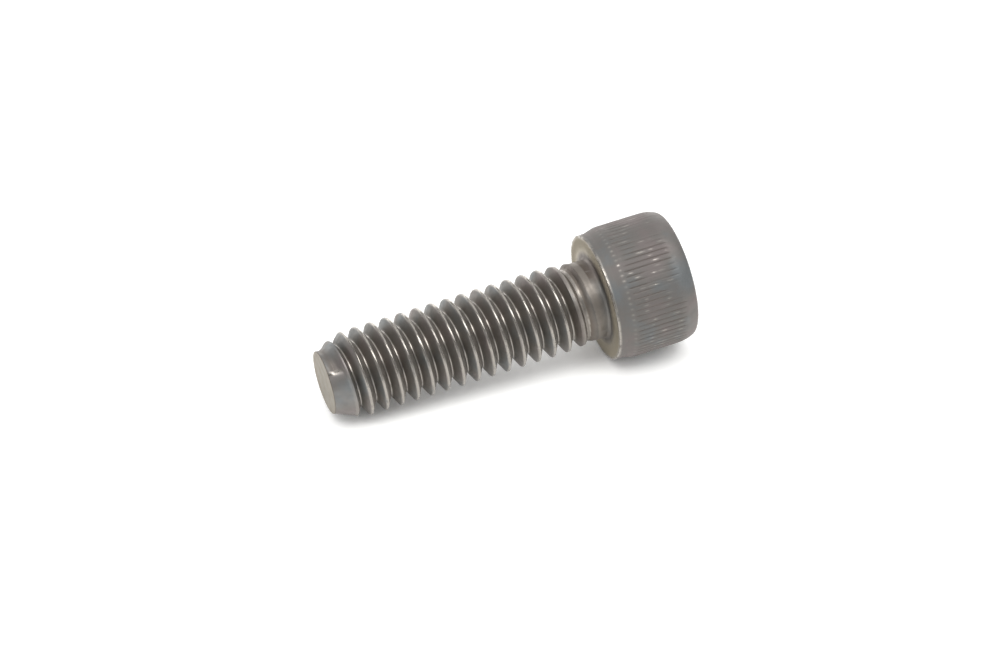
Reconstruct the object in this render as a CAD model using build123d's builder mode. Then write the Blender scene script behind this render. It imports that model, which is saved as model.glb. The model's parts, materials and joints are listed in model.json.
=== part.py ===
from build123d import *
from math import atan2, ceil, cos, radians, sin, tan
import os

# A socket head cap screw, lying on its side as it comes to rest: the head on one side of its weight, a thread
# crest near the point on the other. Lengths along the screw are counted from the bearing face.

# Thread: 5/16 inch with 18 turns to the inch, right-handed, rolled
thread_diameter = 7.8
thread_pitch = 1.411
thread_depth = 0.86
crest_width = 0.2
shank_length = 25.3
rest_crest = 21.95  # from the bearing face to the crest that the screw lies on

# Point of the shank
point_diameter = 5.6
point_length = 2.9

# Neck and run-out, where the rolled thread fades into the plain blank under the head
neck_diameter = 7.06
neck_length = 1.35
neck_flare = 0.3
runout_length = 4.4  # from the bearing face to the last crest of full height
runout_step = 0.4
runout_drop = 0.26  # height lost by the crests before the step
root_runout_length = 3.9

# Head
head_diameter = 11.91
head_height = 7.55
rim_diameter = 11.32
band_length = 0.75
taper_end = 1.75  # from the bearing face to the full diameter, where the knurl starts
crown_length = 1.35
crown_drop = 0.28
top_edge_length = 0.3
top_edge_drop = 0.46
knurl_count = 72
knurl_depth = 0.1
knurl_width = 0.4

# Hexagon socket for a quarter inch key
socket_width = 6.35
socket_depth = 4.1
socket_bottom_angle = 160
socket_mouth_diameter = 7.5
socket_mouth_angle = 120

rise_share = 0.3  # how far the grooves' cutting shapes stand past the metal, as a share of the lands

# Worked out from the sizes above
head_radius = head_diameter / 2
thread_radius = thread_diameter / 2
root_radius = thread_radius - thread_depth
neck_radius = neck_diameter / 2
rim_radius = rim_diameter / 2
knurl_step = 360 / knurl_count

# Groove sections: they stand a little past the metal, and neighbours stay apart
groove_half = (thread_pitch - crest_width) / 2
outer_half = groove_half + rise_share * crest_width
groove_rise = thread_depth * (outer_half / groove_half - 1)
land_width = 2 * head_radius * sin(radians(knurl_step / 2)) - knurl_width
knurl_half = (knurl_width + rise_share * land_width) / 2
knurl_rise = knurl_depth * 2 * knurl_half / knurl_width

# The crown draws in from the knurl, and a flatter edge leads from it to the top
edge_height = head_height - top_edge_length
crown_start = edge_height - crown_length
edge_radius = head_radius - crown_drop
top_radius = edge_radius - top_edge_drop

# Cones at the socket's bottom and mouth, from their full width to the point
socket_bottom_length = socket_width / 2 / tan(radians(socket_bottom_angle / 2))
socket_mouth_length = socket_mouth_diameter / 2 / tan(radians(socket_mouth_angle / 2))

# Lying pose: the screw tips until a thread crest meets the surface that the head's full diameter stands on
crest_edge = rest_crest + crest_width / 2
tilt = atan2(head_radius - thread_radius, taper_end + crest_edge)
seat_height = head_radius * cos(tilt) - taper_end * sin(tilt)
reach_head = head_height * cos(tilt) + top_radius * sin(tilt)
reach_point = shank_length * cos(tilt) + point_diameter / 2 * sin(tilt)
seat_shift = (reach_point - reach_head) / 2

# The bearing face's plane: its normal runs along the screw to the head's top, and its y axis leans up
seat = Plane(origin=(seat_shift, 0, seat_height), x_dir=(0, 1, 0), z_dir=(cos(tilt), 0, sin(tilt)))
section = Plane(seat.origin, x_dir=seat.x_dir, z_dir=-seat.y_dir)
screw_axis = Axis(seat.origin, seat.z_dir)

# Route of the thread groove, turn by turn from beyond the point. It starts on the upper side, half a turn
# from the crest that rests below, and ends inside the neck.
groove_start = -rest_crest - ceil((shank_length - rest_crest) / thread_pitch + 1) * thread_pitch
groove_turns = (-neck_length / 2 - groove_start) / thread_pitch
groove_arcs = [
    Helix(
        thread_pitch,
        min(groove_turns - turn, 1) * thread_pitch,
        thread_radius,
        center=seat.offset(groove_start + turn * thread_pitch).origin,
        direction=seat.z_dir,
    )
    for turn in range(ceil(groove_turns))
]
groove_route = Wire(groove_arcs)
groove_section = Plane(groove_route @ 0, x_dir=seat.y_dir, z_dir=seat.x_dir)

with BuildPart() as cap_screw:
    # Shank blank: crest cylinder with its pointed end, and the crests' fall towards the neck
    with BuildSketch(section):
        with BuildLine():
            Polyline(
                (0, -shank_length),
                (point_diameter / 2, -shank_length),
                (thread_radius, -shank_length + point_length),
                (thread_radius, -runout_length),
                (thread_radius - runout_drop, -neck_length - runout_step),
                (root_radius - crest_width, 0),
                (0, 0),
                close=True,
            )
        make_face()
    revolve(axis=screw_axis)

    # The thread: one V groove, swept along the whole shank
    with BuildSketch(groove_section):
        with BuildLine():
            Polyline(
                (groove_rise, -outer_half),
                (groove_rise, outer_half),
                (-thread_depth, 0),
                close=True,
            )
        make_face()
    sweep(path=groove_route, is_frenet=True, mode=Mode.SUBTRACT)

    # Head, neck and the rising core that closes the groove at its run-out
    with BuildSketch(section):
        with BuildLine():
            Polyline(
                (0, -root_runout_length),
                (root_radius - crest_width, -root_runout_length),
                (neck_radius, -neck_length),
                (neck_radius, -neck_flare),
                (neck_radius + neck_flare, 0),
                (rim_radius, 0),
                (rim_radius, band_length),
                (head_radius, taper_end),
                (head_radius, crown_start),
                (edge_radius, edge_height),
                (top_radius, head_height),
                (0, head_height),
                close=True,
            )
        make_face()
    revolve(axis=screw_axis)

    # Straight knurl: V grooves from the taper below to the crown above
    with BuildSketch(seat.offset(taper_end)):
        with PolarLocations(head_radius - knurl_depth, knurl_count, start_angle=90):
            Polygon((0, 0), (knurl_rise, knurl_half), (knurl_rise, -knurl_half), align=None)
    extrude(amount=crown_start - taper_end, mode=Mode.SUBTRACT)

    # Hexagon socket with its coned bottom and countersunk mouth
    with BuildSketch(seat.offset(head_height)):
        RegularPolygon(socket_width / 2, side_count=6, major_radius=False)
    extrude(amount=-socket_depth, mode=Mode.SUBTRACT)
    inward = (Align.CENTER, Align.CENTER, Align.MAX)
    with Locations(seat.offset(head_height - socket_depth)):
        Cone(0, socket_width / 2, socket_bottom_length, align=inward, mode=Mode.SUBTRACT)
    with Locations(seat.offset(head_height)):
        Cone(0, socket_mouth_diameter / 2, socket_mouth_length, align=inward, mode=Mode.SUBTRACT)

cap_screw.part.label = "cap_screw"
os.makedirs("parts", exist_ok=True)
export_step(cap_screw.part, "parts/cap_screw.step")
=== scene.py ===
import json
import math

import bmesh
import bpy
import numpy as np
from mathutils import Matrix, Vector


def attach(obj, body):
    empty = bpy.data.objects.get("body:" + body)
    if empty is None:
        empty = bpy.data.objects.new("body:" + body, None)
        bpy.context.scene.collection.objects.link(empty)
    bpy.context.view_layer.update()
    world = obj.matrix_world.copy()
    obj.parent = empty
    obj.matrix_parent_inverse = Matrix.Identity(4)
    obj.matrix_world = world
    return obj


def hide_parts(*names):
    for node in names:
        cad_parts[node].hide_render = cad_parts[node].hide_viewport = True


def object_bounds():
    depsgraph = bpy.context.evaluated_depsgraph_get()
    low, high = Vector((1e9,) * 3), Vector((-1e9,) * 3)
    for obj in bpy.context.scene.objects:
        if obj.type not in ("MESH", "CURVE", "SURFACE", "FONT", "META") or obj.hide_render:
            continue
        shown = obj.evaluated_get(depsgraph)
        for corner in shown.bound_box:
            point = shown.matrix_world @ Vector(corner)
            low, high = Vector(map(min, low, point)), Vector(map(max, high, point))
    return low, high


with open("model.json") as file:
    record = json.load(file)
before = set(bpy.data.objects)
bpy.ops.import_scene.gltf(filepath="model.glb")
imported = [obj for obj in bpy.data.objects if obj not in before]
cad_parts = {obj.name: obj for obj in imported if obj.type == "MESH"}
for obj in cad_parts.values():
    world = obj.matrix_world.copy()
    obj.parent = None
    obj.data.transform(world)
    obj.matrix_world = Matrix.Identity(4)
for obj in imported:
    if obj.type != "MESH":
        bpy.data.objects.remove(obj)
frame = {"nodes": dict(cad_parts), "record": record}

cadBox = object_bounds()
mm = 0.001
print("frame loaded, nodes:", sorted(frame["nodes"]))

# The screw's own axes: z runs along it from the bearing face to the head's top, y leans up
bearing = next(m for m in frame["record"]["mounts"] if m["name"] == "bearing_face")
seat = Vector(bearing["pos_m"])
axisZ = -Vector(bearing["axis"]).normalized()
axisX = Vector((0, 1, 0))
axisY = axisZ.cross(axisX)
screwFrame = Matrix((axisX, axisY, axisZ)).transposed().to_4x4()
screwFrame.translation = seat


def hexColour(code):
    # sRGB hex to the linear values that shaders use
    steps = [int(code[i:i + 2], 16) / 255 for i in (1, 3, 5)]
    return [s / 12.92 if s <= 0.04045 else ((s + 0.055) / 1.055) ** 2.4 for s in steps] + [1]


def addNode(tree, kind, inputs=None, **settings):
    # inputs: socket name or number to a plain value or to another node's output
    node = tree.nodes.new(kind)
    for name, value in settings.items():
        setattr(node, name, value)
    for socket, value in (inputs or {}).items():
        if isinstance(value, bpy.types.NodeSocket):
            tree.links.new(value, node.inputs[socket])
        else:
            node.inputs[socket].default_value = value
    return node


def softMin(a, b, k):
    # the smaller of two, with the corner between them rounded over k
    return np.minimum(a, b) - np.maximum(k - np.abs(a - b), 0) ** 2 / (4 * k)


def softMax(a, b, k):
    return -softMin(-a, -b, k)


def ramp(x, low, high):
    # eased rise from 0 at low to 1 at high
    t = np.clip((x - low) / (high - low), 0, 1)
    return t * t * (3 - 2 * t)


def grit(x, y, z, size, seed):
    # smooth lattice noise from -1 to 1 with bumps of about this size, the same on each run
    p = [np.asarray(c) / size for c in np.broadcast_arrays(x, y, z)]
    cell = [np.floor(c).astype(np.int64) for c in p]
    part = [c - i for c, i in zip(p, cell)]
    ease = [t * t * (3 - 2 * t) for t in part]
    total = 0
    for corner in range(8):
        bit = [corner >> n & 1 for n in range(3)]
        i, j, k = (c + b for c, b in zip(cell, bit))
        key = (i * 73856093 ^ j * 19349663 ^ k * 83492791 ^ seed * 2654435761) & 0xFFFFFFFF
        key = (key ^ key >> 15) * 2246822519 & 0xFFFFFFFF
        key = (key ^ key >> 13) * 3266489917 & 0xFFFFFFFF
        value = (key ^ key >> 16) / 0x7FFFFFFF - 1
        weight = 1
        for e, b in zip(ease, bit):
            weight = weight * (e if b else 1 - e)
        total = total + value * weight
    return total


def cornerArc(before, corner, after, radius, steps):
    # points of an arc that rounds a corner of a profile, in radius and height
    b, c, a = (np.array(p, float) for p in (before, corner, after))
    u, v = (b - c) / np.linalg.norm(b - c), (a - c) / np.linalg.norm(a - c)
    half = math.acos(np.clip(u @ v, -1, 1)) / 2
    reach = radius / math.tan(half)
    middle = c + (u + v) / np.linalg.norm(u + v) * radius / math.sin(half)
    start, end = c + u * reach - middle, c + v * reach - middle
    turn = math.pi - 2 * half
    points = []
    for n in range(steps + 1):
        t = n / steps
        spread = (start * math.sin((1 - t) * turn) + end * math.sin(t * turn)) / math.sin(turn)
        points.append(tuple(middle + spread))
    return points


# The skin is built up ring by ring in the screw's own mm. Beside each vertex go shares from 0 to 1:
# rubbed bright, darkened (soiled, and painted shade in places), cut to a bare face, lighter on the flanks
# facing the head (pressed smooth by the thread rolls, and painted light), left rough by the forge
vertices, faces = [], []
wear, soilAndShade, faced, pressedAndLit, forged = [], [], [], [], []


def addRing(radius, along, angles, worn=0.0, darkening=0.0, flat=0.0, rough=0.0):
    # one ring of vertices round the axis; gives their numbers
    firstVertex = len(vertices)
    radius, along, worn, darkening, flat = np.broadcast_arrays(radius, along, worn, darkening, flat + 0 * angles)
    for r, a, q, w, d, f in zip(radius, along, angles, worn, darkening, flat):
        vertices.append((r * math.cos(q), r * math.sin(q), a))
        wear.append(float(w))
        soilAndShade.append(float(d))
        faced.append(float(f))
        pressedAndLit.append(0.0)
        forged.append(rough)
    return list(range(firstVertex, len(vertices)))


def joinRings(low, high):
    n = len(low)
    for j in range(n):
        faces.append((low[j], low[(j + 1) % n], high[(j + 1) % n], high[j]))


def fanRings(few, many):
    # a ring of few vertices to one of a whole number of times as many
    n = len(few)
    share = len(many) // n
    for j in range(n):
        near, far = few[j], few[(j + 1) % n]
        arc = [many[(j * share + k) % len(many)] for k in range(share + 1)]
        middle = share // 2
        for k in range(middle):
            faces.append((near, arc[k + 1], arc[k]))
        faces.append((near, far, arc[middle]))
        for k in range(middle, share):
            faces.append((far, arc[k + 1], arc[k]))


# Rolled shank, in mm from the bearing face: 5/16 inch thread of 18 turns to the inch
shank = {
    "pitch": 1.411,
    "crestRadius": 3.88,
    "depth": 1.0,
    "crestFlat": 0.17,
    "flankAngle": 29,
    "crestRound": 0.1,
    "rootRound": 0.08,
    "restCrest": -21.95,  # a crest stands on the floor here
    "tip": -25.29,
    "tipRadius": 2.79,
    "tipEdge": 0.07,
    "edgeSteps": 4,
    "endDish": 0.03,
    "endRings": (0.85, 0.6, 0.35, 0.12),  # shares of the end face's radius
    "endFaced": 0.7,
    "endSoil": 0.25,
    # the point's rounded edge is darkened as painted shade
    "edgeShade": 0.6,
    "pointLength": 2.9,
    "pointRound": 0.06,
    "pointGroove": 0.15,
    "pointRise": 0.1,
    "pointShift": 0.14,  # of a pitch
    # the groove's first turn, then degrees: its blunt end, half that slope, its beginning, its full depth
    "start": (-2, 128, 6, 230, 350),
    "neckRadius": 3.53,
    "neckStart": -1.35,
    "neckEnd": -0.8,
    "neckFillet": 0.3,
    "filletSteps": 5,
    "neckWear": 0.3,
    "seatRing": 4.35,  # radius where the bearing face passes on to the head's finer rings
    "fadeStart": -4.4,
    "fadeEnd": -1.75,
    "fadeDrop": 0.26,
    "rootRise": -3.9,
    "columns": 144,
    "phases": (0, 0.035, 0.075, 0.125, 0.21, 0.30, 0.375, 0.42, 0.46, 0.5),  # of a pitch, groove to crest
    "nicks": 70,
    "nickSeed": 7,
    "nickDepth": 0.07,
    "nickReach": 0.03,  # radians along the thread
    "nickSpread": 0.09,
    "waver": 0.006,
    "waverSizes": (0.9, 0.3),
    "waverSeeds": (3, 4),
    "waverFine": 0.6,  # share of the finer size
    "calmLength": 0.3,  # the waver fades out over this at both ends, where plain rings carry on
    "crestWear": (0.86, 1),  # shares of the depth
    "crestBelow": (0.2, 0.06),  # mm under the crest radius
    "rootWear": 0.75,
    "rootHeight": (0.01, 0.1),  # shares of the depth
    "rootBelow": 0.5,
    "wearStart": (1.3, 2.2),  # from the tip: the cone isn't rubbed
    "pressedAndLitHeight": (0.05, 0.2),
    # stain level, also the level of the painted shade in the thread's grooves
    "brown": 0.5,
}


def threadRadius(along, angle):
    # skin's radius, height share in the thread, share of the flank facing the head, step of the blunt end
    s = shank
    phase = (along - s["restCrest"]) / s["pitch"] - (angle - math.pi / 2) / (2 * math.pi)
    turn = np.floor(phase + 0.5)
    gap = np.abs(phase - turn) * s["pitch"]  # from the groove's middle line
    slope = math.tan(math.radians(s["flankAngle"]))
    rootHalf = (s["pitch"] - s["crestFlat"]) / 2 - s["depth"] * slope
    height = softMax((gap - rootHalf) / slope, 0 * gap, s["rootRound"])
    height = softMin(height, s["depth"] + 0 * gap, s["crestRound"])
    # the groove's first turn
    first, blunt, ease, begin, full = s["start"]
    degrees = np.degrees(angle)
    bluntEnd = 1 - ramp(degrees, blunt - ease, blunt + ease)
    cut = np.where(degrees < begin, bluntEnd, ramp(degrees, begin, full))
    cut = np.where(turn <= first, cut, 1)
    height = s["depth"] - (s["depth"] - height) * cut
    # crests knocked flat here and there, as loose screws in a bin get
    route = phase * 2 * math.pi + angle
    rng = np.random.default_rng(s["nickSeed"])
    knocks = 0
    for spot, wide, deep in rng.random((s["nicks"], 3)):
        where = spot * (s["neckEnd"] - s["tip"]) / s["pitch"] * 2 * math.pi
        reach = s["nickReach"] + s["nickSpread"] * wide
        here = (s["tip"] - s["restCrest"]) / s["pitch"] * 2 * math.pi + where
        knocks = knocks + s["nickDepth"] * deep ** 2 * np.exp(-((route - here) / reach) ** 2)
    radius = s["crestRadius"] - s["depth"] + np.minimum(height, s["depth"] - knocks)
    # the point's cone, with a faint groove, and the crests' fall towards the neck
    cone = s["tipRadius"] + (along - s["tip"]) * (s["crestRadius"] - s["tipRadius"]) / s["pointLength"]
    wave = 0.5 - 0.5 * np.cos(2 * math.pi * (phase - s["pointShift"]))
    cone = cone + cut * (s["pointRise"] * wave ** 3 - s["pointGroove"] * (1 - wave))
    fade = np.interp(along, [s["fadeStart"], s["fadeEnd"], s["neckStart"]],
                     [s["crestRadius"], s["crestRadius"] - s["fadeDrop"], s["neckRadius"]])
    radius = softMin(radius, np.minimum(cone, fade), s["pointRound"])
    core = np.interp(along, [s["rootRise"], s["neckStart"]],
                     [s["crestRadius"] - s["depth"] - s["crestFlat"], s["neckRadius"]])
    radius = softMax(radius, core, s["pointRound"])
    headSide = np.where(phase < turn, ramp(height / s["depth"], *s["pressedAndLitHeight"]), 0)
    return radius, height / s["depth"], headSide, 4 * cut * (1 - cut) * (degrees < begin)


# Shank: a grid that winds with the thread, so that its rows lie along crests and roots
s = shank
columns = s["columns"]
shankAngles = np.arange(columns) * 2 * math.pi / columns
half = list(s["phases"])
phases = np.array([-p for p in reversed(half[1:-1])] + half)  # one pitch, middle of a groove at 0
perTurn = len(phases)
firstTurn = math.floor((s["tip"] - s["restCrest"]) / s["pitch"]) - 2
lastTurn = math.ceil((s["neckEnd"] - s["restCrest"]) / s["pitch"]) + 2
rows = (np.arange(firstTurn, lastTurn)[:, None] + phases[None, :]).ravel()
turns = rows[:, None] + (shankAngles[None, :] - math.pi / 2) / (2 * math.pi)
tipAlong = s["tip"] + s["tipEdge"]
along = np.clip(s["restCrest"] + s["pitch"] * turns, tipAlong, s["neckEnd"])
angle = np.broadcast_to(shankAngles, along.shape)
radius, height, flank, startStep = threadRadius(along, angle)
x, y = radius * np.cos(angle), radius * np.sin(angle)
calm = ramp(along, tipAlong, tipAlong + s["calmLength"])
calm = calm * (1 - ramp(along, s["neckEnd"] - s["calmLength"], s["neckEnd"]))
coarse, fine = (grit(x, y, along, size, seed) for size, seed in zip(s["waverSizes"], s["waverSeeds"]))
radius = radius + s["waver"] * calm * (coarse + s["waverFine"] * fine - 1)

under, near = (s["crestRadius"] - drop for drop in s["crestBelow"])
rubbed = ramp(height, *s["crestWear"]) * ramp(radius, under, near)
threaded = ramp(along, *(s["tip"] + start for start in s["wearStart"]))
root = (1 - ramp(height, *s["rootHeight"])) * (radius < s["crestRadius"] - s["rootBelow"])
rubbed = rubbed + s["rootWear"] * threaded * root + startStep
# The flanks facing the head get a lighter colour: partly burnished by the rolls, partly painted light
flank = flank * threaded
# Brown towards the neck is a stain; on the flanks facing the tip, darker deeper in the groove, it is painted
# shade
brown = s["brown"] * (1 - height) * (flank == 0) + s["brown"] * ramp(along, s["fadeStart"], s["fadeEnd"])

firstVertex = len(vertices)
for r, q, a in zip(radius.ravel(), angle.ravel(), along.ravel()):
    vertices.append((r * math.cos(q), r * math.sin(q), a))
wear += np.clip(rubbed, 0, 1).ravel().tolist()
soilAndShade += np.clip(brown, 0, 1).ravel().tolist()
faced += [0.0] * radius.size
pressedAndLit += flank.ravel().tolist()
forged += [0.0] * radius.size
grid = firstVertex + np.arange(along.size).reshape(along.shape)
inside = (along > tipAlong) & (along < s["neckEnd"])
for i in range(len(rows) - perTurn - 1):
    for j in range(columns):
        k, m = (i, j + 1) if j + 1 < columns else (i + perTurn, 0)
        quad = [(i, j), (k, m), (k + 1, m), (i + 1, j)]
        if any(inside[p] for p in quad):
            faces.append(tuple(int(grid[p]) for p in quad))
print("shank wound:", len(faces), "faces")

# End of the point: a rounded edge, darkened all round as painted shade, and a slightly dished face
tipRadius = threadRadius(np.full(columns, tipAlong), shankAngles)[0]
edge = addRing(tipRadius, tipAlong, shankAngles, 0, s["edgeShade"])
for step in range(1, s["edgeSteps"] + 1):
    share = step / s["edgeSteps"]
    turn = share * math.pi / 2
    ring = addRing(tipRadius - s["tipEdge"] * (1 - math.cos(turn)), tipAlong - s["tipEdge"] * math.sin(turn),
                   shankAngles, 0, max(1 - share, s["endSoil"]), s["endFaced"] * (share > 0.5))
    joinRings(ring, edge)
    edge = ring
for share in s["endRings"]:
    dish = s["tip"] + s["endDish"] * (1 - share)
    ring = addRing(tipRadius * share, dish, shankAngles, 0, s["endSoil"], s["endFaced"])
    joinRings(ring, edge)
    edge = ring
middle = addRing(np.zeros(1), s["tip"] + s["endDish"], np.zeros(1), 0, s["endSoil"], s["endFaced"])[0]
for j in range(columns):
    faces.append((middle, edge[(j + 1) % columns], edge[j]))

# Neck, its fillet and the inner part of the bearing face
neckRadius = threadRadius(np.full(columns, s["neckEnd"]), shankAngles)[0]
edge = addRing(neckRadius, s["neckEnd"], shankAngles, s["neckWear"], s["brown"])
neckTop = (s["neckRadius"], s["neckEnd"])
for r, a in cornerArc(neckTop, (s["neckRadius"], 0), (s["seatRing"], 0), s["neckFillet"], s["filletSteps"]):
    ring = addRing(np.full(columns, r), a, shankAngles, 0, s["brown"])
    joinRings(edge, ring)
    edge = ring
ring = addRing(np.full(columns, s["seatRing"]), 0.0, shankAngles, 0, 0, 1)
joinRings(edge, ring)
edge = ring
print("point and neck closed:", len(faces), "faces so far")

# Forged head, in mm from the bearing face
head = {
    "radius": 5.945,
    "height": 7.55,
    "seatRings": (4.9, 5.3),
    "rimRadius": 5.66,
    "rimEdge": 0.07,
    "rimWear": 0.12,  # how far the bright rim reaches over both sides of the edge
    "arcSteps": 4,
    "bandLength": 0.75,
    "bandRise": 0.01,
    "bandRound": 0.6,
    "taperEnd": 1.75,
    "taperRound": 1.5,
    "taperRows": 8,
    "crownLength": 1.35,
    "crownDrop": 0.28,
    "crownRows": 11,
    "crownSmooth": (5.6, 6.6, 0.6),  # from, to, and the share of forged roughness lost there
    "topEdge": 0.5,
    "topRows": 7,
    "topRings": (4.9, 4.4),
    "knurlCount": 72,
    "knurlDepth": 0.055,
    "knurlWidth": 0.24,
    "knurlRows": 24,
    "knurlSeed": 11,
    "depthSpread": 0.35,
    "widthSpread": 0.2,
    "knurlEnds": (0.3, 0.2),  # clear of the bearing face and of the top
    "knurlGrooveDark": 0.6,
    "grooveDarkFrom": 0.3,  # share of the groove's depth
    "grooveRound": 0.3,  # share of the groove's half width
    "grooveBlend": 0.02,
    "rubbedSide": 70,  # degrees round the head
    "rubbedLean": 0.6,
    "rubbedRange": (-0.2, 0.8),
    "rubbedPatch": 1.4,
    "rubbedSeed": 21,
    "rubbedShare": 0.65,
    "burrHighlightSide": 122,  # degrees: the burrs at the ridge starts are biggest and most rubbed here, where they glint: partly a painted highlight
    "burrHighlightReach": 30,
    "ridgeStart": 1.42,
    "burr": 0.04,
    "burrLeast": 0.3,
    "burrWidth": 0.1,
    "burrLength": 0.12,
    "rubs": 190,
    "rubPlaces": (1.7, 5.9),
    "rubLengths": (0.1, 0.28),
    "rubWidth": 0.05,
    "rubDepth": 0.025,
    "columnsPerKnurl": 8,
    "socketWidth": 6.35,
    "socketDepth": 4.1,
    "socketBottomAngle": 160,
    "wallRows": (0, 0.04, 0.35, 0.7, 0.97, 1),
    "wallShine": 0.05,  # share of the wall
    "bottomRows": (1, 0.66, 0.33, 0.05),
    "bottomFit": 0.999,  # a hair inside the walls, so that the round bottom and the flats stay apart
    "socketWear": 0.6,
    "socketDark": (0.5, 0.7),  # foot of the walls, bottom
    "mouthRadius": 3.75,
    "mouthAngle": 120,
    "mouthEdge": 0.06,
    "waver": 0.008,
    "waverSizes": (0.7, 0.25),
    "waverSeeds": (5, 6),
    "waverFine": 0.7,
    "seatWaver": 0.2,  # share of the waver left on the bearing face
}

# One profile from the bearing face over the knurl and the crown to the socket's mouth
h = head
knurls = h["knurlCount"]
headColumns = knurls * h["columnsPerKnurl"]
headAngles = np.arange(headColumns) * 2 * math.pi / headColumns
crownTurn = 2 * math.atan2(h["crownDrop"], h["crownLength"])
edgeHeight = h["height"] - h["topEdge"] * (1 - math.sin(crownTurn))
crownStart = edgeHeight - h["crownLength"]
crownRadius = (h["crownLength"] ** 2 + h["crownDrop"] ** 2) / (2 * h["crownDrop"])
topRadius = h["radius"] - h["crownDrop"] - h["topEdge"] * math.cos(crownTurn)
rimCorner = (h["rimRadius"], 0)
bandCorner = (h["rimRadius"] + h["bandRise"], h["bandLength"])
taperCorner = (h["radius"], h["taperEnd"])
profile = [(r, 0.0) for r in h["seatRings"]]
profile += cornerArc(profile[0], rimCorner, bandCorner, h["rimEdge"], h["arcSteps"])
bandArc = cornerArc(rimCorner, bandCorner, taperCorner, h["bandRound"], h["arcSteps"])
start, stop = np.array(profile[-1]), np.array(bandArc[0])
profile += [tuple((1 - t) * start + t * stop) for t in (0.33, 0.67)] + bandArc
crownFoot = (h["radius"], crownStart)
taperArc = cornerArc(bandCorner, taperCorner, crownFoot, h["taperRound"], h["arcSteps"])
start, stop = np.array(bandArc[-1]), np.array(taperArc[0])
profile += [tuple(start + (stop - start) * t) for t in np.linspace(0, 1, h["taperRows"])[1:-1]] + taperArc
profile += [(h["radius"], a) for a in np.linspace(taperArc[-1][1], crownStart, h["knurlRows"])[1:]]
for t in np.linspace(0, crownTurn, h["crownRows"])[1:]:
    profile.append((h["radius"] - crownRadius * (1 - math.cos(t)), crownStart + crownRadius * math.sin(t)))
for t in np.linspace(crownTurn, math.pi / 2, h["topRows"])[1:]:
    profile.append((topRadius + h["topEdge"] * math.cos(t), h["height"] - h["topEdge"] * (1 - math.sin(t))))
topRings = (*h["topRings"], h["mouthRadius"] + h["mouthEdge"], h["mouthRadius"])
profile += [(r, h["height"]) for r in topRings]

# Knurl grooves of uneven depth and width, darker towards their bottoms, small burrs where the ridges start,
# and rub marks on the ridges
rng = np.random.default_rng(h["knurlSeed"])
grooveDeep = 1 + h["depthSpread"] * (rng.random(knurls) - 0.5)
grooveWide = 1 + h["widthSpread"] * (rng.random(knurls) - 0.5)
grooveNumber = np.rint(headAngles / (2 * math.pi) * knurls).astype(int)
grooveGap = (headAngles - grooveNumber * 2 * math.pi / knurls) * h["radius"]
grooveNumber = grooveNumber % knurls
vShape = np.abs(grooveGap) / (h["knurlWidth"] / 2 * grooveWide[grooveNumber])
vShape = softMin(vShape, 1 + 0 * vShape, h["grooveRound"])
ridgeGap = math.pi * h["radius"] / knurls - np.abs(grooveGap)  # mm from the middle of a ridge
ridgeNumber = np.floor(headAngles / (2 * math.pi) * knurls).astype(int) % knurls
ridgeTurn = (np.arange(knurls) + 0.5) * 360 / knurls - h["burrHighlightSide"]
# Burrs grow and rub lighter towards one side, where the lamp glints on them: partly a painted highlight
least = h["burrLeast"]
burrs = least + (1 - least) * rng.random(knurls)
burrs = burrs * (least + (1 - least) * np.exp(-(ridgeTurn / h["burrHighlightReach"]) ** 2))
rubMarks = []
for n in range(h["rubs"]):
    ridge = rng.integers(knurls)
    rubMarks.append((ridge, rng.uniform(*h["rubPlaces"]), rng.uniform(*h["rubLengths"]), rng.random()))
side = np.cos(headAngles - math.radians(h["rubbedSide"]))

ring = None
for r, a in profile:
    base = np.full(headColumns, float(r))
    x, y = r * np.cos(headAngles), r * np.sin(headAngles)
    worn = 0 * base
    darkening = 0 * base
    onSeat = a < 0.001
    if h["knurlEnds"][0] < a < h["height"] - h["knurlEnds"][1]:
        # grooves rubbed shallow in places
        patch = grit(x, y, a, h["rubbedPatch"], h["rubbedSeed"])
        rubbed = ramp(patch + h["rubbedLean"] * side, *h["rubbedRange"])
        deep = h["knurlDepth"] * grooveDeep[grooveNumber] * (1 - h["rubbedShare"] * rubbed)
        base = softMin(base, h["radius"] - deep * (1 - vShape), h["grooveBlend"])
        darkening = h["knurlGrooveDark"] * ramp(np.clip((r - base) / h["knurlDepth"], 0, 1), h["grooveDarkFrom"], 1)
        away = (ridgeGap / h["burrWidth"]) ** 2 + ((a - h["ridgeStart"]) / h["burrLength"]) ** 2
        dot = burrs[ridgeNumber] * np.exp(-away)
        worn = worn + dot
        base = base + h["burr"] * dot
        for ridge, where, length, strength in rubMarks:
            away = (ridgeGap / h["rubWidth"]) ** 2 + ((a - where) / length) ** 2
            mark = strength * (ridgeNumber == ridge) * np.exp(-away)
            worn = worn + mark
            base = base - h["rubDepth"] * mark
        worn = np.clip(worn, 0, 1)
    if a < h["rimWear"] and r > h["rimRadius"] - h["rimWear"]:
        worn = worn + 1
    coarse, fine = (grit(x, y, a, size, seed) for size, seed in zip(h["waverSizes"], h["waverSeeds"]))
    waver = h["waver"] * (coarse + h["waverFine"] * fine - 1)
    base = base + waver * (h["seatWaver"] if onSeat else 1)
    low, high, lost = h["crownSmooth"]
    rough = 1 - lost * float(ramp(a, low, high))
    new = addRing(base, a, headAngles, worn, darkening, 1.0 if onSeat else 0.0, rough)
    if ring is None:
        fanRings(edge, new)
    else:
        joinRings(ring, new)
    ring = new

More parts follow.
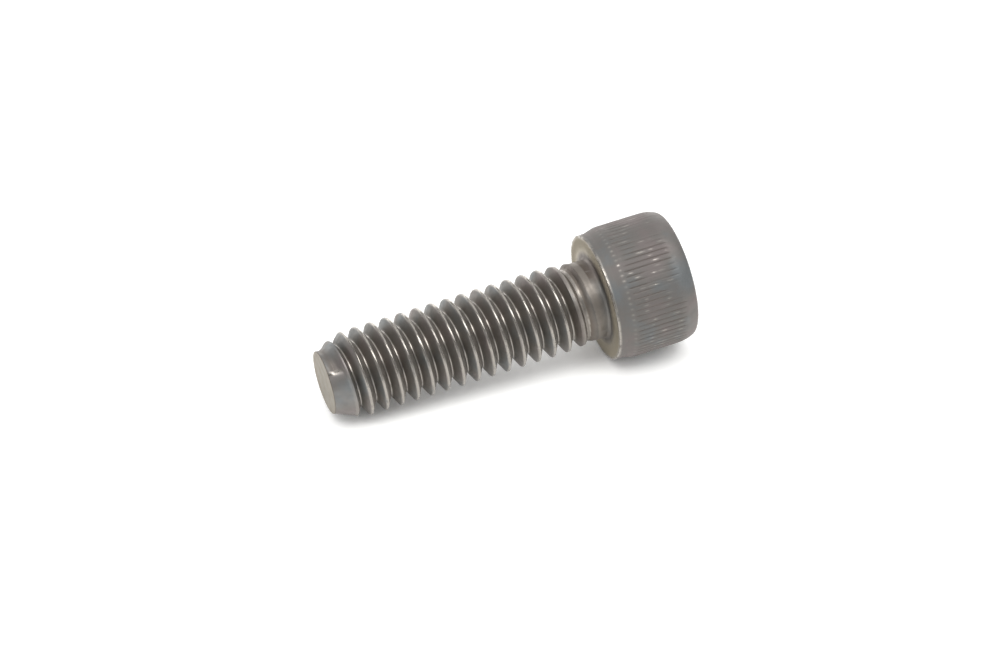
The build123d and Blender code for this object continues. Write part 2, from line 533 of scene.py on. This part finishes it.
# Hexagon socket: countersunk mouth, six walls and a coned bottom, darker towards the bottom
sixth = math.pi / 3
hexRadius = h["socketWidth"] / 2 / np.cos(headAngles % sixth - sixth / 2)
mouthFall = (h["mouthRadius"] - hexRadius) / math.tan(math.radians(h["mouthAngle"] / 2))
wallTop = h["height"] - mouthFall
wallFoot = h["height"] - h["socketDepth"]
bottomFall = h["socketWidth"] / 2 / math.tan(math.radians(h["socketBottomAngle"] / 2))
footDark, bottomDark = h["socketDark"]
for share in h["wallRows"]:
    rimShine = h["socketWear"] * (share < h["wallShine"])
    wallHeight = wallTop + (wallFoot - wallTop) * share
    new = addRing(hexRadius, wallHeight, headAngles, rimShine, footDark * share)
    joinRings(ring, new)
    ring = new
for share in h["bottomRows"]:
    bottomRadius = np.full(headColumns, h["socketWidth"] / 2 * share * h["bottomFit"])
    new = addRing(bottomRadius, wallFoot - bottomFall * (1 - share), headAngles, 0, bottomDark)
    joinRings(ring, new)
    ring = new
middle = addRing(np.zeros(1), wallFoot - bottomFall, np.zeros(1), 0, bottomDark)[0]
for j in range(headColumns):
    faces.append((ring[j], ring[(j + 1) % headColumns], middle))
print("head turned:", len(faces), "faces in all")

# One closed skin, in the frame's own place
weld = {"merge": 0.0005, "sliver": 0.0002, "sharpAngle": 32}  # mm, mm, degrees
skin = bpy.data.meshes.new("capScrew")
skin.from_pydata([screwFrame @ (Vector(v) * mm) for v in vertices], [], faces)
shares = {"wear": wear, "soilAndShade": soilAndShade, "faced": faced, "pressedAndLit": pressedAndLit, "forged": forged}
for name, values in shares.items():
    skin.attributes.new(name, "FLOAT", "POINT").data.foreach_set("value", values)
bm = bmesh.new()
bm.from_mesh(skin)
bmesh.ops.remove_doubles(bm, verts=bm.verts, dist=weld["merge"] * mm)
bmesh.ops.dissolve_degenerate(bm, edges=bm.edges, dist=weld["sliver"] * mm)
loose = [v for v in bm.verts if not v.link_faces]
bmesh.ops.delete(bm, geom=loose, context="VERTS")
bmesh.ops.recalc_face_normals(bm, faces=bm.faces)
openEdges = sum(1 for e in bm.edges if len(e.link_faces) != 2)
bm.to_mesh(skin)
bm.free()
triangles = sum(len(p.vertices) - 2 for p in skin.polygons)
print("skin:", len(skin.vertices), "vertices,", triangles, "triangles,", openEdges, "open edges")

capScrew = bpy.data.objects.new("capScrew", skin)
bpy.context.scene.collection.objects.link(capScrew)
skin.polygons.foreach_set("use_smooth", [True] * len(skin.polygons))
skin.set_sharp_from_angle(angle=math.radians(weld["sharpAngle"]))

# Black-oxide alloy steel, forged, rolled and tumbled: to the eye a dark satin grey, cool or brownish in
# patches, rubbed to bright metal on crests and ridges, beige on the cut faces, and brown where it rusts.
# The dark brown is also painted shade in the thread's grooves and on the point's edge, and darkens the
# knurl's grooves and the socket towards their bottoms; the lighter flanks facing the head are partly painted
# light
steel = {
    "oxide": "#84817e",
    "oxideCool": "#818485",
    "oxideBrown": "#898280",
    "bare": "#a19c95",
    "faced": "#a39b8c",
    # flanks facing the head: burnished, and painted light
    "pressedAndLit": "#a29d97",
    # brown stain, also used as painted shade in the grooves and on the point's edge
    "soilAndShade": "#6e665e",
    "patch": 3.5,  # mm
    "speck": 0.8,
    "grain": 0.06,  # coarser than the oxide's own, so that it shows
    "grainDepth": 0.01,
    "grainStrength": 0.3,
    "tintRange": (0.36, 0.64),  # of the patches' noise, from cool to brown
    "rubRange": (0.28, 0.5),  # of the specks' noise, from oxide left to all rubbed off
    "roughness": (0.44, 0.62),
    "roughRange": (0.3, 0.7),
    "bareRoughness": 0.22,
    "forgedRoughness": 0.74,
}
steelMaterial = bpy.data.materials.new("blackOxideAlloySteel")
steelMaterial.use_nodes = True
tree = steelMaterial.node_tree
shader = tree.nodes["Principled BSDF"]
shader.inputs["Metallic"].default_value = 1.0
place = addNode(tree, "ShaderNodeTexCoord").outputs["Object"]
noise = {}
for name, detail in (("patch", 4.0), ("speck", 3.0), ("grain", 2.0)):
    scale = 1 / (steel[name] * mm)
    texture = addNode(tree, "ShaderNodeTexNoise", {"Vector": place, "Scale": scale, "Detail": detail})
    noise[name] = texture.outputs["Fac"]
amount = {name: addNode(tree, "ShaderNodeAttribute", attribute_name=name).outputs["Fac"] for name in shares}

tint = addNode(tree, "ShaderNodeValToRGB", {"Fac": noise["patch"]})
for end, position, name in zip((0, 1), steel["tintRange"], ("oxideCool", "oxideBrown")):
    tint.color_ramp.elements[end].position = position
    tint.color_ramp.elements[end].color = hexColour(steel[name])
tint.color_ramp.elements.new(0.5).color = hexColour(steel["oxide"])
low, high = steel["rubRange"]
rub = addNode(tree, "ShaderNodeMapRange", {"Value": noise["speck"], "From Min": low, "From Max": high})
rubbed = addNode(tree, "ShaderNodeMath", {0: amount["wear"], 1: rub.outputs["Result"]}, operation="MULTIPLY")
colour = tint.outputs["Color"]
for name, factor in (("faced", amount["faced"]), ("pressedAndLit", amount["pressedAndLit"]), ("soilAndShade", amount["soilAndShade"]),
                     ("bare", rubbed.outputs[0])):
    colours = {"Factor": factor, 6: colour, 7: hexColour(steel[name])}
    colour = addNode(tree, "ShaderNodeMix", colours, data_type="RGBA").outputs[2]
tree.links.new(colour, shader.inputs["Base Color"])

low, high = steel["roughRange"]
smooth, dull = steel["roughness"]
satin = addNode(tree, "ShaderNodeMapRange", {"Value": noise["speck"], "From Min": low, "From Max": high,
                                             "To Min": smooth, "To Max": dull}).outputs["Result"]
for factor, name in ((amount["forged"], "forgedRoughness"), (rubbed.outputs[0], "bareRoughness")):
    satin = addNode(tree, "ShaderNodeMix", {0: factor, 2: satin, 3: steel[name]}).outputs[0]
tree.links.new(satin, shader.inputs["Roughness"])
bump = addNode(tree, "ShaderNodeBump", {"Height": noise["grain"], "Strength": steel["grainStrength"],
                                        "Distance": steel["grainDepth"] * mm})
tree.links.new(bump.outputs["Normal"], shader.inputs["Normal"])
skin.materials.append(steelMaterial)

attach(capScrew, "root")
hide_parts("cap_screw")
print("screw dressed")

# Round sweep of pale paper, in m: flat under the screw, turned up far away on every side
sweep = {"flat": 0.8, "curve": 0.15, "sides": 96, "steps": 8}
sides = sweep["sides"]
paperPoints = []
for step in range(sweep["steps"] + 1):
    turn = step / sweep["steps"] * math.pi / 2
    reach = sweep["flat"] + sweep["curve"] * math.sin(turn)
    lift = sweep["curve"] * (1 - math.cos(turn))
    for q in np.arange(sides) * 2 * math.pi / sides:
        paperPoints.append((reach * math.cos(q), reach * math.sin(q), lift))
paperFaces = [tuple(range(sides))]
for low in range(0, sweep["steps"] * sides, sides):
    for j in range(sides):
        k = (j + 1) % sides
        paperFaces.append((low + j, low + sides + j, low + sides + k, low + k))
floorMesh = bpy.data.meshes.new("floor")
floorMesh.from_pydata(paperPoints, [], paperFaces)
floorMesh.polygons.foreach_set("use_smooth", [True] * len(floorMesh.polygons))
floor = bpy.data.objects.new("floor", floorMesh)
floor.location.z = cadBox[0].z
bpy.context.scene.collection.objects.link(floor)

# White paper, matt: to the eye a plain white ground. Its glow shows only to the camera and in reflections,
# and is dimmed by occlusion close under the screw: a painted contact shadow beside the real one
paper = {
    "colour": "#ececea",
    "roughness": 0.9,
    "shadeReach": 6,  # mm
    "shadeSamples": 8,
    "openRange": (0.15, 0.39),
    "glow": (0.03, 0.42),
}
paperMaterial = bpy.data.materials.new("whitePaper")
paperMaterial.use_nodes = True
tree = paperMaterial.node_tree
shader = tree.nodes["Principled BSDF"]
shader.inputs["Base Color"].default_value = hexColour(paper["colour"])
shader.inputs["Roughness"].default_value = paper["roughness"]
shader.inputs["Emission Color"].default_value = (1, 1, 1, 1)
rays = addNode(tree, "ShaderNodeLightPath")
seen = rays.outputs["Is Camera Ray"]
for name in ("Is Glossy Ray", "Is Transmission Ray"):
    seen = addNode(tree, "ShaderNodeMath", {0: seen, 1: rays.outputs[name]}, operation="MAXIMUM").outputs[0]
shade = addNode(tree, "ShaderNodeAmbientOcclusion", {"Distance": paper["shadeReach"] * mm},
                samples=paper["shadeSamples"])
low, high = paper["openRange"]
dim, bright = paper["glow"]
# the glow dimmed where the ground is least open: painted shadow
paintedShadowGlow = addNode(tree, "ShaderNodeMapRange", {"Value": shade.outputs["AO"], "From Min": low, "From Max": high,
                                             "To Min": dim, "To Max": bright})
glow = addNode(tree, "ShaderNodeMath", {0: seen, 1: paintedShadowGlow.outputs["Result"]}, operation="MULTIPLY")
tree.links.new(glow.outputs[0], shader.inputs["Emission Strength"])
floorMesh.materials.append(paperMaterial)

# Soft studio light
studio = {
    "world": 0.4,
    "lamps": {
        # name: (position in mm from the screw's middle, width mm, height mm, watts)
        "back": ((60, 300, 50), 800, 90, 0.5),
        "sky": ((40, 200, 330), 700, 300, 0.5),
        "strip": ((-20, -105, 325), 460, 150, 0.95),
    },
}
world = bpy.data.worlds.new("studio")
bpy.context.scene.world = world
world.use_nodes = True
surround = world.node_tree.nodes["Background"]
surround.inputs["Color"].default_value = (1, 1, 1, 1)
surround.inputs["Strength"].default_value = studio["world"]
for name, (spot, wide, tall, watts) in studio["lamps"].items():
    lamp = bpy.data.lights.new(name, "AREA")
    lamp.shape = "RECTANGLE"
    lamp.size = wide * mm
    lamp.size_y = tall * mm
    lamp.energy = watts
    holder = bpy.data.objects.new(name, lamp)
    holder.location = Vector(spot) * mm
    holder.rotation_euler = (-holder.location).to_track_quat("-Z", "Y").to_euler()
    bpy.context.scene.collection.objects.link(holder)

# Camera at the photo's angle, in degrees and mm; the seat lies this far right, up and away from the lens
view = {
    "azimuth": -21.104,
    "elevation": 38.934,
    "lens": 162.0,
    "sensor": 36.0,
    "seat": (8.324, 3.127, 393.743),
    "nearest": 10,
}
azimuth, elevation = math.radians(view["azimuth"]), math.radians(view["elevation"])
right = Vector((math.cos(azimuth), math.sin(azimuth), 0))
ahead = Vector((-math.sin(azimuth), math.cos(azimuth), 0))
away = ahead * math.cos(elevation) - Vector((0, 0, math.sin(elevation)))
up = right.cross(away)
camera = bpy.data.objects.new("camera", bpy.data.cameras.new("camera"))
camera.data.lens = view["lens"]
camera.data.sensor_width = view["sensor"]
camera.data.clip_start = view["nearest"] * mm
toRight, toUp, toAway = view["seat"]
camera.location = seat - (right * toRight + up * toUp + away * toAway) * mm
camera.rotation_euler = Matrix((right, up, -away)).transposed().to_euler()
bpy.context.scene.collection.objects.link(camera)
bpy.context.scene.camera = camera
bpy.context.scene.view_settings.view_transform = "Standard"
print("stage lit, camera set")
